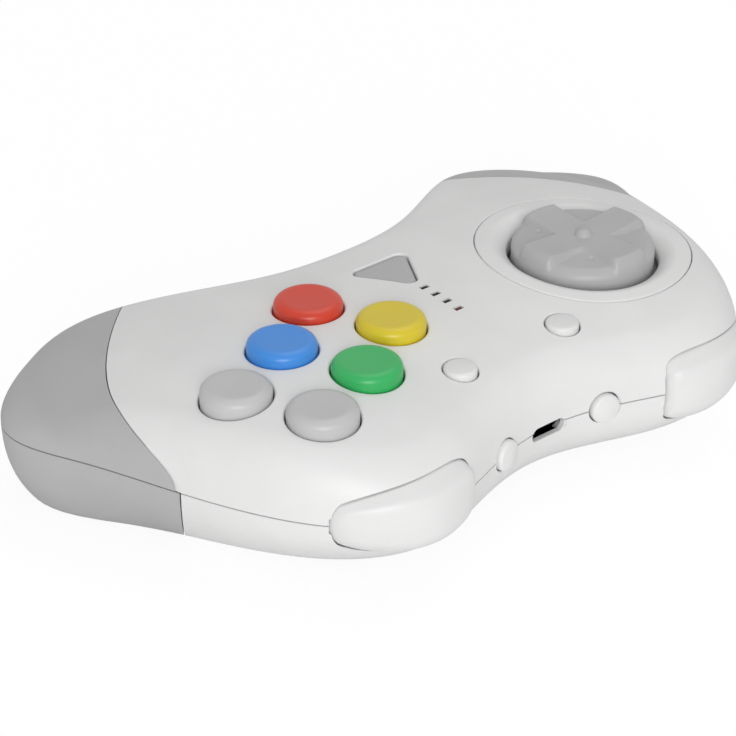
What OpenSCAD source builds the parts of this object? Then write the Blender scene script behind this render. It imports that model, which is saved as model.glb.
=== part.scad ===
// Gamepad with six face buttons, a round direction pad, two triggers and two moulded grip ends.
// Millimetres. +X is the player's right, +Y is the shoulder edge with the socket, +Z is up.
// The origin is on the flat rest face, below the middle of the body.

/* [Body] */
// Overall width of the two shells
body_w = 157.4; // [150:0.2:166]
// Overall depth of the two shells, grip to shoulder
body_d = 92.6; // [88:0.1:98]
// Height of the parting plane above the rest face
base_h = 17; // [16:0.25:19]
// Height of the crown above the parting plane
crown_h = 14.9; // [14.5:0.1:17]
// Depth of the bottom shell's bowl below the parting plane
bowl_h = 17.3; // [17:0.1:20]
// Radius over which the top face turns down to the side
top_edge_r = 8.7; // [8:0.1:11]
// Radius over which the bottom face turns up to the side
bottom_edge_r = 18; // [15:0.5:20]
// Wall of the two shells
wall = 2.2; // [1.8:0.1:2.6]

/* [Grips] */
// How far a grey grip end reaches along the side, towards the shoulder edge
grip_reach = 12.2; // [11.5:0.1:13]
// Seam between a grip end and its shell
seam = 0.06; // [0.04:0.01:0.2]

/* [Direction pad] */
// Middle of the direction pad, left of the centre line
dpad_x = 36.5; // [35.5:0.25:37.5]
// Middle of the direction pad, towards the shoulder edge
dpad_y = 9.5; // [8.5:0.25:10.5]
// Radius of the pad itself
dpad_r = 14.3; // [13:0.1:14.6]
// Height of the pad's rim over the surface round it
dpad_proud = 2.4; // [1.5:0.1:3]
// Radius of the dish ring
dish_r = 21.6; // [20.5:0.1:22]
// Depth of the hollow in the pad's top
dpad_hollow = 1; // [0.5:0.1:1.5]
// Tilt of the pad to each side, in degrees
dpad_tilt = 4.5; // [3:0.25:5]
// Radius of the ball that the pad rocks on
ball_r = 2.5; // [2:0.1:2.8]

/* [Face buttons] */
// Middle of the button group, right of the centre line
group_x = 32; // [31:0.25:33]
// Middle of the button group, towards the shoulder edge
group_y = 11.7; // [11:0.1:12.5]
// Step along a row
button_pitch = 16.3; // [16.2:0.05:16.8]
// Step between the two rows
row_gap = 17; // [16.4:0.1:17.5]
// How far the outer buttons of a row fall back
row_bend = 1.8; // [1:0.1:2.2]
// Turn of the rows, in degrees
row_turn = 27.3; // [25:0.1:29]
// Radius of a face button
button_r = 6.65; // [6:0.05:6.8]
// Height of a face button over the surface round it
button_proud = 2.3; // [1.8:0.1:3]
// Travel of a face button
button_travel = 1.5; // [0.8:0.1:1.6]

/* [Small controls] */
// Middle of each small round button, off the centre line
small_x = 13; // [12.5:0.1:14]
// Middle of the small round buttons, towards the shoulder edge
small_y = 28; // [27.5:0.1:28.5]
// Radius of a small round button
small_r = 3.2; // [2.8:0.1:3.4]
// Height of a small round button over the surface
small_proud = 0.9; // [0.5:0.1:1.2]
// Radius of the round corners of the start button
start_corner_r = 1.6; // [1.2:0.1:2]
// Height of the start button's cap below the surface
start_sink = 0.3; // [0:0.1:0.6]
// Gap round every cap
cap_gap = 0.3; // [0.2:0.05:0.4]
// Number of status lights
light_count = 4; // [2:1:4]
// Step between the status lights
light_pitch = 3.27; // [3:0.01:3.5]

/* [Shoulder] */
// Middle of each round shoulder button, off the centre line
shoulder_x = 12.7; // [12.2:0.1:13.2]
// Radius of a round shoulder button
shoulder_r = 3; // [2.6:0.1:3.1]
// Turn of a round shoulder button towards the middle, in degrees
shoulder_turn = 13.5; // [10:0.5:16]
// Inner end of the trigger, off the centre line
trigger_in = 25.2; // [25:0.1:25.8]
// Outer end of the trigger, off the centre line
trigger_out = 52; // [51:0.1:52.5]
// Height of the trigger above the parting plane
trigger_up = 7.2; // [6.6:0.1:7.4]
// Depth of the trigger below the parting plane
trigger_down = 7.2; // [6.5:0.1:7.4]
// How far the trigger stands out of the shoulder edge
trigger_bulge = 2.2; // [1.5:0.1:2.6]
// Radius of the trigger's pin
pin_r = 1; // [0.8:0.05:1.2]
// Running clearance of pins and pivots
running = 0.05; // [0.02:0.01:0.08]

/* [Inside] */
// Height of the board's underside above the parting plane
board_lift = 0.9; // [0.8:0.1:1.2]
// Thickness of the board
board_t = 1.6; // [1.2:0.1:1.8]
// Width of the socket's metal shell
socket_w = 8.94; // [8.8:0.02:9.1]
// Height of the socket's metal shell
socket_h = 3.26; // [3.1:0.02:3.4]
// Length of the battery
battery_l = 50; // [40:1:51]
// Thickness of the battery
battery_t = 6.5; // [4:0.5:8]
// Radius of the screw shanks
screw_r = 1; // [0.9:0.05:1.1]

/* [Hidden] */
$fn = 64;

// Right half of the outline as control points of a closed cubic curve, shoulder edge to player's edge
HALF = [
  [0, 38.2], [10, 39.4], [22, 43.6], [37, 49.2], [54, 39], [65.7, 14.3],
  [72.6, -7.8], [84, -27], [59.5, -45.5], [47, -47.8], [22, -28.4], [0, -27.4]
];
// Right side and player's edge of the board
BOARD_SIDE = [[44, 33], [50, 24], [56, 12], [58, 0], [57, -12], [46, -20], [0, -20]];
// Seams of a grip end over the top and under the bottom: curves from the side to the player's edge
TOP_SEAM = [[65.9, grip_reach], [70.5, -8.5], [61, -20], [39, -40.9]];
BASE_SEAM = [[65.9, grip_reach], [55, -1], [47, -14], [39, -40.9]];
// Middles of the start button's round corners
START = [[-4.7, -9.7], [4.7, -9.7], [0, -1.6]];
// Case screws and board screws in the right half and on the centre line
CASE_SCREWS = [[62, -28], [25, -19.5], [44, -14]];
BOARD_SCREWS = [[50, -10], [-50, -10], [0, 21.5], [0, -17.5]];
// Corner of the processor chip
CHIP = [12, 4];
// Body size at which these lists are drawn
drawn = [157.4, 92.6];
function fitted(list) = [for (p = list) [p.x * body_w / drawn.x, p.y * body_d / drawn.y]];

// Slack that keeps cutting tools clear of the faces they cut
over = 1;
far = 100;
// Rest gap between a moving piece and what stops or carries it
rest_gap = 0.2;

// Outline and body surface
last = len(HALF) - 1;
RING = concat(HALF, [for (i = [last - 1:-1:1]) [-HALF[i].x, HALF[i].y]]);
function ctrl(i) = RING[(i + len(RING)) % len(RING)];
function raw_outline(t) =
  let (i = floor(t), u = t - i)
  (ctrl(i - 1) * pow(1 - u, 3) + ctrl(i) * (3 * pow(u, 3) - 6 * u * u + 4)
    + ctrl(i + 1) * (-3 * pow(u, 3) + 3 * u * u + 3 * u + 1) + ctrl(i + 2) * pow(u, 3)) / 6;
TRACE = [for (i = [0:20 * last]) raw_outline(i / 20)];
trace_x = max([for (p = TRACE) p.x]);
trace_top = max([for (p = TRACE) p.y]);
trace_low = min([for (p = TRACE) p.y]);
fit_x = body_w / (2 * trace_x);
fit_y = body_d / (trace_top - trace_low);
function outline(t) = let (p = raw_outline(t)) [p.x * fit_x, p.y * fit_y];
tip_t = [for (i = [0:20 * last]) if (TRACE[i].x == trace_x) i / 20][0];
tip_x = outline(tip_t).x;
// Curve parameter at which the outline reaches x, between lo (rising side) and hi
function seek(x, lo, hi, turns = 28) =
  let (mid = (lo + hi) / 2)
  turns == 0 ? mid : (outline(mid).x < x ? seek(x, mid, hi, turns - 1) : seek(x, lo, mid, turns - 1));
function shoulder_y(x) = outline(seek(abs(x), 0, tip_t)).y;
function player_y(x) = outline(seek(abs(x), last, tip_t)).y;

// The crown falls away from the middle; the bowl deepens towards the grips
crown_span = 30;
crown_rise = 0.61;
crown_fall = 0.34;
crown_twist = 0.34;
crown_curl = 0.21;
crown_drop = 3.4;
crown_mid_y = 2.5;
bowl_rise = 2.1;
bowl_fall = 0.44;
bowl_drop = 0.55;
bowl_lean = 2.1;
bowl_twist = 1.16;
edge_power = 2.3;
spine_share = 0.62;
spine_y = 2;
spine_power = 3;
tip_y = outline(tip_t).y;
// Drop of the spine's ends, so that each runs straight at its tip
spine_drop = (spine_y - tip_y) / (1 + spine_power * (1 - spine_share) / spine_share);
function spine(x) = [spine_share * x, spine_y - spine_drop * pow(abs(x) / tip_x, spine_power)];
crown_floor = wall + 1.5;
function crown(x, y) =
  let (u = x / crown_span, v = (y - crown_mid_y) / crown_span)
  max(crown_floor, crown_h + u * u * (crown_rise + crown_twist * v + crown_curl * v * v)
    - crown_fall * pow(u, 4) - crown_drop * v * v);
function bowl(x, y) =
  let (u = x / crown_span, v = y / crown_span)
  bowl_h + bowl_rise * u * u - bowl_fall * pow(u, 4) - bowl_drop * v * v
    - bowl_lean * v - bowl_twist * u * u * v;
function turn(d, r) = pow(1 - pow(1 - min(1, d / r), edge_power), 1 / edge_power);
// Distance from the edge at which a turn of radius r has risen to the share f
function turn_in(f, r) = r * (1 - pow(1 - pow(f, edge_power), 1 / edge_power));
function top_z(x, y) = base_h + crown(x, y);
// Inside floor of the bottom shell over the rest face, faintly dished, and away from the shell's edge
floor_dish = 0.4;
function flat_floor(x, y) = wall + floor_dish * (x * x + y * y) / (tip_x * tip_x);
function floor_z(x, y) = max(flat_floor(x, y), base_h - bowl(x, y) + wall);
function slope(x, y) = [top_z(x + 0.5, y) - top_z(x - 0.5, y), top_z(x, y + 0.5) - top_z(x, y - 0.5)];

// Surface grid: stations along X, each from the shoulder edge over the spine to the player's edge
stations = 40;
rings = 8;
row = 2 * rings + 1;
inner_edge_share = 0.6;
STATION = [
  for (i = [0:stations])
    let (x = tip_x * sin(-90 + 180 * i / stations), end = i == 0 || i == stations)
    [x, end ? tip_y : shoulder_y(x), end ? tip_y : player_y(x)]
];
// Point k of station i, at inset t from the outer face, on the top (side 1) or the bottom (side -1)
function skin(i, k, t, side) =
  let (
    s = STATION[i],
    edge = k <= rings ? [s[0], s[1]] : [s[0], s[2]],
    middle = spine(s[0]),
    start = edge + (middle - edge) * t / norm(middle - edge),
    w = 1 - cos(90 * (k <= rings ? k : 2 * rings - k) / rings),
    p = start + (middle - start) * w,
    d = w * norm(middle - start),
    share = inner_edge_share * t
  )
  side > 0
    ? [p.x, p.y, base_h + (crown(p.x, p.y) - t) * turn(d, top_edge_r - share)]
    : [p.x, p.y, max(base_h - (bowl(p.x, p.y) - t) * turn(d, bottom_edge_r - share),
        t == 0 ? -far : flat_floor(p.x, p.y))];
function slot_of(i, k) = (i == 0 || i == stations) && k > rings ? i * row + 2 * rings - k : i * row + k;
function flip(faces, side) = side > 0 ? faces : [for (f = faces) [f[0], f[2], f[1]]];

module half_shell(side) {
  outside = [for (i = [0:stations]) for (k = [0:row - 1]) skin(i, k, 0, side)];
  inside = [for (i = [0:stations]) for (k = [0:row - 1]) skin(i, k, wall, side)];
  n = len(outside);
  cells = [for (i = [0:stations - 1]) for (k = [0:row - 2])
    [slot_of(i, k), slot_of(i + 1, k), slot_of(i + 1, k + 1), slot_of(i, k + 1)]];
  outer_faces = [for (c = cells) each [[c[0], c[1], c[2]], [c[0], c[2], c[3]]]];
  inner_faces = [for (f = outer_faces) [f[0] + n, f[2] + n, f[1] + n]];
  rim_faces = [for (i = [0:stations - 1]) each
    let (a = slot_of(i, 0), b = slot_of(i + 1, 0), c = slot_of(i, row - 1), d = slot_of(i + 1, row - 1))
    [[b, a, a + n], [b, a + n, b + n], [c, d, d + n], [c, d + n, c + n]]];
  polyhedron(concat(outside, inside), flip(concat(outer_faces, inner_faces, rim_faces), side), convexity = 6);
}

// Places and shapes that several pieces share
module both_sides() {
  children();
  mirror([1, 0, 0]) children();
}
// Everything below the tangent plane at x, y, lowered by depth
module under_skin(x, y, depth) {
  s = slope(x, y);
  translate([x, y, top_z(x, y) - depth])
    rotate([atan(s.y), -atan(s.x), 0])
      translate([-far / 2, -far / 2, -far])
        cube(far);
}
// A post from z up into the wall of the top shell
skin_cover = 1.1;
module post_to_skin(x, y, r, z) {
  intersection() {
    translate([x, y, z]) cylinder(r = r, h = far);
    under_skin(x, y, skin_cover);
  }
}
// Everything on the grip's side of a seam, set back by gap
seam_steps = 20;
function curve(p, t) =
  p[0] * pow(1 - t, 3) + 3 * p[1] * t * pow(1 - t, 2) + 3 * p[2] * t * t * (1 - t) + p[3] * pow(t, 3);
function curve_normal(p, t) = let (e = curve(p, t + 0.01) - curve(p, t - 0.01)) [-e.y, e.x] / norm(e);
module grip_zone(seam_points, gap) {
  p = fitted(seam_points);
  side = [p[0].x + gap, p[0].y - gap];
  line = [for (i = [1:seam_steps]) let (t = i / seam_steps) curve(p, t) + gap * curve_normal(p, t)];
  translate([0, 0, -far])
    linear_extrude(height = 2 * far)
      polygon(concat([side], line, [2 * p[3] - p[2], [far, -far], [far, side.y]]));
}

// Stack of heights, board upwards
board_z = base_h + board_lift;
board_top = board_z + board_t;
sheet_t = 1;
dome_h = 1.9;
sheet_top = board_top + sheet_t;
dome_top = sheet_top + dome_h;
post_z = dome_top + rest_gap;
flange_t = 1.2;
flange_z = post_z + 1.2;
collar_z = flange_z + flange_t + rest_gap;
collar_wall = 1.1;
flange_w = 1.15;

// Direction pad
ball_z = board_top + ball_r + 0.2;
pad_z = dome_top + rest_gap;
pad_flange_z = pad_z + 0.8;
pad_flange_r = dpad_r + 2.7;
pad_swing = pad_flange_r * sin(1.42 * dpad_tilt) + rest_gap;
ledge_t = 1.2;
dish_z = pad_flange_z + flange_t + pad_swing;
dish_hole_r = dpad_r + 0.9;
dish_mouth_w = 3;
dish_mouth_z = dish_z + 0.8;
dish_seat_w = 2.9;
dish_gap = 0.15;
dish_wall = 2.5;
dish_crown_r = 150;
dish_lean = [0.045, -0.032];
pad_surface = top_z(-dpad_x, dpad_y);
pad_rim = pad_surface + dpad_proud;
pivot_r = ball_r + 0.7;
pad_post_r = 9.5;
module dpad_place() {
  translate([-dpad_x, dpad_y, 0]) children();
}
// Ball of the local crown, lowered by depth
module dpad_crown(depth) {
  translate([0, 0, pad_surface])
    rotate([atan(dish_lean.y), -atan(dish_lean.x), 0])
      translate([0, 0, -dish_crown_r])
        sphere(r = dish_crown_r - depth, $fn = 128);
}

// Face buttons: row -1 is the lower one, place -1 is next to the direction pad
function button_at(row_side, place) =
  let (
    along = place * button_pitch,
    across = row_side * row_gap / 2 - row_bend * place * place
  )
  [
    group_x + along * cos(row_turn) - across * sin(row_turn),
    group_y + along * sin(row_turn) + across * cos(row_turn)
  ];
BUTTONS = [for (r = [-1, 1]) for (p = [-1, 0, 1]) button_at(r, p)];
SMALL = [[-small_x, small_y], [small_x, small_y]];
large_key_r = 5;
function key_inner(r) = r - (r > large_key_r ? 1.6 : 1);
key_roof = 2.5;
key_edge = 0.8;
// Round cap with a flange below the collar and a post that meets its dome
module round_key(at, r, proud) {
  top = top_z(at.x, at.y) + proud;
  post_r = key_inner(r) * 0.45;
  edge = min(key_edge, r / 5);
  translate([at.x, at.y, 0])
    rotate_extrude()
      polygon([
        [0, post_z], [post_r, post_z], [post_r, top - key_roof], [key_inner(r), top - key_roof],
        [key_inner(r), flange_z], [r + flange_w, flange_z], [r + flange_w, flange_z + flange_t],
        [r, flange_z + flange_t], [r, top - edge], [r - edge, top], [0, top]
      ]);
}
module key_collar(at, r) {
  post_to_skin(at.x, at.y, r + collar_wall, collar_z);
}
module key_bore(at, r) {
  translate([at.x, at.y, collar_z - over]) cylinder(r = r + cap_gap, h = far);
}
dome_wall = 0.6;
// Dome of rubber under a key
module dome(at, r) {
  translate([at.x, at.y, sheet_top]) cylinder(r1 = r, r2 = r * 0.6, h = dome_h);
}
module dome_hollow(at, r) {
  translate([at.x, at.y, board_top - over]) cylinder(r = r - dome_wall, h = sheet_t + over);
  translate([at.x, at.y, sheet_top])
    cylinder(r1 = r - dome_wall, r2 = (r - dome_wall) * 0.6, h = dome_h - dome_wall);
}
function dome_r(r) = key_inner(r) - 0.4;

// Start button
module start_outline(grow) {
  r = start_corner_r + grow;
  for (c = START) translate(c) circle(r = r);
  polygon([for (i = [0:2]) each
    let (a = START[i], b = START[(i + 1) % 3], e = (b - a) / norm(b - a), n = [e.y, -e.x] * r)
    [a + n, b + n]]);
}
start_mid = (START[0] + START[1] + START[2]) / 3;
start_dome_r = 3;

// Status lights
light_y = 3.2;
light_size = [1.8, 1];
light_h = 0.8;
pipe_bar_z = collar_z - 1.2;
pipe_bar_t = 1.5;
pipe_slack = 0.1;
function light_at(i) = [0, light_y + i * light_pitch];

// Shoulder buttons, in a frame whose +Z points out of the edge
shoulder_wall = wall / cos(shoulder_turn);
shoulder_flange_at = shoulder_wall + 0.9;
shoulder_stem_at = shoulder_flange_at + 2.2;
shoulder_proud = 1.1;
shoulder_travel = 0.8;
shoulder_switch_w = 4.5;
shoulder_switch_h = 3.2;
module shoulder_place(side) {
  translate([side * shoulder_x, shoulder_y(shoulder_x), base_h])
    rotate([0, 0, side * shoulder_turn])
      rotate([-90, 0, 0])
        children();
}
module shoulder_bore(side) {
  shoulder_place(side) translate([0, 0, -shoulder_flange_at]) cylinder(r = shoulder_r + cap_gap, h = far / 5);
}

// Triggers
trigger_depth = 6;
trigger_gap = 0.35;
trigger_taper = 0.38;
taper_power = 3;
crease_up = 5.1;
trigger_stations = 12;
end_power = 4;
end_share = 0.38;
pin_x = trigger_in + 4.3;
pin_inset = 6.5;
pin_y = shoulder_y(pin_x) - pin_inset;
hub_r = pin_r + 1.6;
hub_up = trigger_up - 1.2;
hub_down = trigger_down - 1;
pin_up = trigger_up + 1.6;
pin_down = trigger_down + 2.4;
pin_boss_r = pin_r + 1.2;
pin_boss_gap = 0.4;
trigger_swing = 6;
trigger_switch_x = 38.5;
trigger_switch_w = 6;
trigger_switch_h = 3.6;
function trigger_x(j) = trigger_in + (trigger_out - trigger_in) * (1 - cos(180 * j / trigger_stations)) / 2;
function trigger_end(j) =
  let (s = (trigger_x(j) - trigger_in) / (trigger_out - trigger_in))
  [s, end_share + (1 - end_share) * pow(max(0, 1 - pow(abs(2 * s - 1), end_power)), 1 / end_power)];
function trigger_height(j, full) =
  let (e = trigger_end(j))
  full * (1 - trigger_taper * pow(e[0], taper_power)) * e[1];
// Section j of the trigger, rear bottom corner first: its top edge meets the skin, a crease divides the front
function trigger_section(j) =
  let (
    x = trigger_x(j), edge = shoulder_y(x), up = trigger_height(j, trigger_up),
    down = trigger_height(j, trigger_down), out = trigger_bulge * trigger_end(j)[1],
    inset = turn_in(up / crown(x, edge), top_edge_r)
  )
  [
    [x, edge - trigger_depth, base_h - down], [x, edge - trigger_depth, base_h + up],
    [x, edge - inset, base_h + up], [x, edge + out - 0.5, base_h + min(crease_up, 0.8 * up)],
    [x, edge + out, base_h], [x, edge + out - 0.8, base_h - down * 0.6], [x, edge - 0.9, base_h - down]
  ];
module trigger_block() {
  sections = [for (j = [0:trigger_stations]) trigger_section(j)];
  m = len(sections[0]);
  points = [for (s = sections) each s];
  sides = [for (j = [0:trigger_stations - 1]) for (k = [0:m - 1]) each
    let (a = j * m + k, b = j * m + (k + 1) % m, c = b + m, d = a + m) [[a, b, c], [a, c, d]]];
  first = [for (k = [1:m - 2]) [0, k + 1, k]];
  end = trigger_stations * m;
  final = [for (k = [1:m - 2]) [end, end + k, end + k + 1]];
  polyhedron(points, concat(sides, first, final), convexity = 4);
}
module trigger_window() {
  upper = [for (j = [0:trigger_stations])
    [trigger_x(j) + (j == 0 ? -trigger_gap : j == trigger_stations ? trigger_gap : 0),
      trigger_height(j, trigger_up) + trigger_gap]];
  lower = [for (j = [trigger_stations:-1:0])
    [upper[j].x, -trigger_height(j, trigger_down) - trigger_gap]];
  translate([0, shoulder_y(trigger_out) - trigger_depth + over, base_h])
    rotate([90, 0, 0])
      mirror([0, 0, 1])
        linear_extrude(height = far / 4)
          polygon(concat(upper, lower));
}
module pin_boss(z, h) {
  translate([pin_x, pin_y, z]) cylinder(r = pin_boss_r, h = h);
}

// Socket
socket_depth = 7.3;
socket_shell_t = 0.3;
socket_lip = 1.2;
socket_face_y = shoulder_y(0) - socket_lip;
socket_z = board_z - socket_h / 2;
socket_gap = 0.2;
module socket_outline(w, h) {
  square([w - h, h], center = true);
  for (s = [-1, 1]) translate([s * (w - h) / 2, 0]) circle(r = h / 2);
}
module socket_place() {
  translate([0, socket_face_y, socket_z]) rotate([90, 0, 0]) children();
}
module socket_mouth() {
  socket_outline(socket_w - 2 * socket_shell_t, socket_h - 2 * socket_shell_t);
}
// The mouth goes through the wall, and the metal shell sits in a pocket behind it
module socket_window() {
  socket_place() {
    translate([0, 0, -far / 10]) linear_extrude(height = far / 10 + over) socket_mouth();
    translate([0, 0, -socket_gap])
      linear_extrude(height = wall + 2 * over)
        socket_outline(socket_w + 2 * socket_gap, socket_h + 2 * socket_gap);
  }
}

// Screws
screw_fit = 0.05;
case_seat_z = 6;
case_head_r = 2.2;
case_head_h = 1.6;
case_boss_r = 3.4;
case_post_r = 3;
case_bite = 5.5;
board_post_r = 2.6;
board_head_h = 1.2;
board_head_r = 1.9;
board_bite = 5;
module case_spots(list) {
  for (p = list) translate([p.x, p.y, 0]) children();
}
module case_boss() {
  translate([0, 0, wall / 2]) cylinder(r = case_boss_r, h = base_h - wall / 2);
}
module case_drill() {
  translate([0, 0, -over]) cylinder(r = case_head_r + cap_gap, h = case_seat_z + over);
  translate([0, 0, 0]) cylinder(r = screw_r + 2 * screw_fit, h = base_h + over);
}
module board_pilot() {
  translate([0, 0, board_top - over]) cylinder(r = screw_r + screw_fit, h = board_bite + over);
}
module case_pilot() {
  translate([0, 0, base_h - over]) cylinder(r = screw_r + screw_fit, h = case_bite + over + rest_gap);
}
CASE_SPOTS = fitted(CASE_SCREWS);
GRIP_SPOT = [CASE_SPOTS[0]];
SHELL_SPOTS = [CASE_SPOTS[1], CASE_SPOTS[2]];
BOARD_SPOTS = fitted(BOARD_SCREWS);

// Pieces of the casing
module top_shell() {
  color("whitesmoke")
    difference() {
      union() {
        half_shell(1);
        for (b = BUTTONS) key_collar(b, button_r + cap_gap);
        for (b = SMALL) key_collar(b, small_r + cap_gap);
        intersection() {
          translate([0, 0, collar_z]) linear_extrude(height = far) start_outline(cap_gap + collar_wall);
          under_skin(start_mid.x, start_mid.y, skin_cover);
        }
        dpad_place()
          intersection() {
            translate([0, 0, dish_z - ledge_t]) cylinder(r = dish_r + dish_wall, h = far / 5);
            dpad_crown(skin_cover);
          }
        for (p = BOARD_SPOTS) post_to_skin(p.x, p.y, board_post_r, board_top);
        both_sides() for (p = SHELL_SPOTS) post_to_skin(p.x, p.y, case_post_r, base_h);
        both_sides() pin_boss(base_h + trigger_up + pin_boss_gap, pin_up - trigger_up);
      }
      both_sides() grip_zone(TOP_SEAM, 0);
      for (b = BUTTONS) key_bore(b, button_r);
      for (b = SMALL) key_bore(b, small_r);
      translate([0, 0, collar_z - over]) linear_extrude(height = far) start_outline(cap_gap);
      dpad_place() {
        translate([0, 0, dish_z]) cylinder(r = dish_r + dish_gap, h = far / 5);
        translate([0, 0, dish_z - far / 5]) cylinder(r = dish_r - dish_seat_w, h = far / 2);
      }
      for (i = [0:light_count - 1])
        translate([light_at(i).x, light_at(i).y, top_z(0, light_y)])
          cube([light_size.x + 2 * pipe_slack, light_size.y + 2 * pipe_slack, 4 * wall], center = true);
      case_spots(BOARD_SPOTS) board_pilot();
      both_sides() case_spots(SHELL_SPOTS) case_pilot();
      both_sides() trigger_window();
      both_sides() translate([pin_x, pin_y, base_h]) cylinder(r = pin_r + running / 2, h = pin_up);
      for (s = [-1, 1]) shoulder_bore(s);
      socket_window();
    }
}
battery_w = 30;
battery_y = 1;
battery_gap = 0.5;
// The battery lies on the highest point of the floor below it
BATTERY_EDGE = [for (x = [0, battery_l / 2]) for (s = [-1, 1]) floor_z(x, battery_y + s * battery_w / 2)];
battery_z = max(BATTERY_EDGE) + battery_gap;
rib_gap = 0.3;
rib_t = 1.4;
module bottom_shell() {
  color("whitesmoke")
    difference() {
      union() {
        half_shell(-1);
        both_sides() case_spots(SHELL_SPOTS) case_boss();
        both_sides() pin_boss(base_h - pin_down, pin_down - trigger_down - pin_boss_gap);
        both_sides()
          translate([battery_l / 2 + rib_gap, battery_y - battery_w / 4, wall / 2])
            cube([rib_t, battery_w / 2, battery_z - wall / 2 + battery_t / 2]);
      }
      translate([-far, -far, -2 * far]) cube(2 * far);
      both_sides() grip_zone(BASE_SEAM, 0);
      both_sides() case_spots(SHELL_SPOTS) case_drill();
      both_sides() trigger_window();
      both_sides()
        translate([pin_x, pin_y, base_h - pin_down]) cylinder(r = pin_r + running / 2, h = pin_down);
      for (s = [-1, 1]) shoulder_bore(s);
      socket_window();
    }
}
module grip_top() {
  color("darkgray")
    difference() {
      union() {
        intersection() {
          half_shell(1);
          grip_zone(TOP_SEAM, seam);
        }
        for (p = GRIP_SPOT) post_to_skin(p.x, p.y, case_post_r, base_h);
      }
      case_spots(GRIP_SPOT) case_pilot();
    }
}
module grip_bottom() {
  color("darkgray")
    difference() {
      union() {
        intersection() {
          half_shell(-1);
          grip_zone(BASE_SEAM, seam);
        }
        case_spots(GRIP_SPOT) case_boss();
      }
      translate([-far, -far, -2 * far]) cube(2 * far);
      case_spots(GRIP_SPOT) case_drill();
    }
}
module right_grip_top() {
  grip_top();
}
module right_grip_bottom() {
  grip_bottom();
}
module left_grip_top() {
  mirror([1, 0, 0]) grip_top();
}
module left_grip_bottom() {
  mirror([1, 0, 0]) grip_bottom();
}

// Direction pad and what carries it
module dpad_dish() {
  color("whitesmoke")
    dpad_place()
      difference() {
        intersection() {
          translate([0, 0, dish_z]) cylinder(r = dish_r, h = far / 5);
          dpad_crown(0);
        }
        translate([0, 0, dish_z - over]) cylinder(r = dish_hole_r, h = far / 5);
        translate([0, 0, dish_mouth_z])
          cylinder(r1 = dish_hole_r, r2 = dish_hole_r + dish_mouth_w, h = pad_surface + over - dish_mouth_z);
      }
}
arm_half = 3.7;
notch_in = arm_half * sqrt(2);
notch_slope = 5;
notch_step = 0.3;
flank_in = 1.2;
flank_low = 1;
nub_r = 1.7;
module dpad() {
  hollow_r = (dpad_r * dpad_r + dpad_hollow * dpad_hollow) / (2 * dpad_hollow);
  rim_edge = 1;
  color("darkgray")
    dpad_place()
      difference() {
        union() {
          difference() {
            rotate_extrude()
              polygon([
                [0, pad_flange_z], [pad_flange_r, pad_flange_z], [pad_flange_r, pad_flange_z + flange_t],
                [dpad_r, pad_flange_z + flange_t], [dpad_r, pad_surface - flank_low],
                [dpad_r - flank_in, pad_rim - rim_edge], [dpad_r - flank_in - rim_edge, pad_rim], [0, pad_rim]
              ]);
            translate([0, 0, pad_rim - dpad_hollow + hollow_r]) sphere(r = hollow_r, $fn = 128);
            for (a = [45:90:315])
              rotate([0, 0, a])
                translate([notch_in, 0, pad_rim - dpad_hollow - notch_step])
                  rotate([0, notch_slope, 0])
                    linear_extrude(height = far / 10)
                      polygon([[0, 0], [dpad_r, -dpad_r], [dpad_r, dpad_r]]);
          }
          translate([0, 0, pad_rim - dpad_hollow - 0.6]) sphere(r = nub_r);
          translate([0, 0, ball_z + 0.7]) cylinder(r = pivot_r, h = pad_flange_z - ball_z);
          for (a = [0:90:270])
            rotate([0, 0, a])
              translate([pad_post_r, 0, pad_z]) cylinder(r = 2.2, h = over);
        }
        translate([0, 0, ball_z]) sphere(r = ball_r + running);
      }
}
module dpad_ball() {
  color("silver") dpad_place() translate([0, 0, ball_z]) sphere(r = ball_r);
}
module dpad_post() {
  color("dimgray")
    dpad_place()
      difference() {
        translate([0, 0, board_top]) cylinder(r = pivot_r, h = ball_z - board_top - 0.9);
        translate([0, 0, ball_z]) sphere(r = ball_r + running);
      }
}
module dpad_membrane() {
  posts = [for (a = [0:90:270]) [pad_post_r * cos(a), pad_post_r * sin(a)]];
  color("gainsboro")
    dpad_place()
      difference() {
        union() {
          translate([0, 0, board_top]) cylinder(r = pad_post_r + 4.5, h = sheet_t);
          for (p = posts) dome(p, 3.4);
        }
        for (p = posts) dome_hollow(p, 3.4);
        translate([0, 0, board_top - over]) cylinder(r = pivot_r + 0.6, h = far / 10);
      }
}

// Buttons on the top face
module button_red() {
  color("firebrick") round_key(BUTTONS[0], button_r, button_proud);
}
module button_blue() {
  color("royalblue") round_key(BUTTONS[1], button_r, button_proud);
}
module button_grey_lower() {
  color("lightgray") round_key(BUTTONS[2], button_r, button_proud);
}
module button_yellow() {
  color("gold") round_key(BUTTONS[3], button_r, button_proud);
}
module button_green() {
  color("seagreen") round_key(BUTTONS[4], button_r, button_proud);
}
module button_grey_upper() {
  color("lightgray") round_key(BUTTONS[5], button_r, button_proud);
}
module face_membrane() {
  sheet_r = button_pitch / 2 + 0.6;
  color("gainsboro")
    difference() {
      union() {
        translate([0, 0, board_top])
          linear_extrude(height = sheet_t)
            for (b = BUTTONS) translate(b) circle(r = sheet_r);
        for (b = BUTTONS) dome(b, dome_r(button_r));
      }
      for (b = BUTTONS) dome_hollow(b, dome_r(button_r));
    }
}
module start_button() {
  color("darkgray") {
    intersection() {
      translate([0, 0, flange_z]) linear_extrude(height = far / 5) start_outline(0);
      under_skin(start_mid.x, start_mid.y, start_sink);
    }
    translate([0, 0, flange_z]) linear_extrude(height = flange_t) start_outline(flange_w);
    translate([start_mid.x, start_mid.y, post_z]) cylinder(r = start_corner_r, h = flange_z - post_z + over);
  }
}
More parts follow.
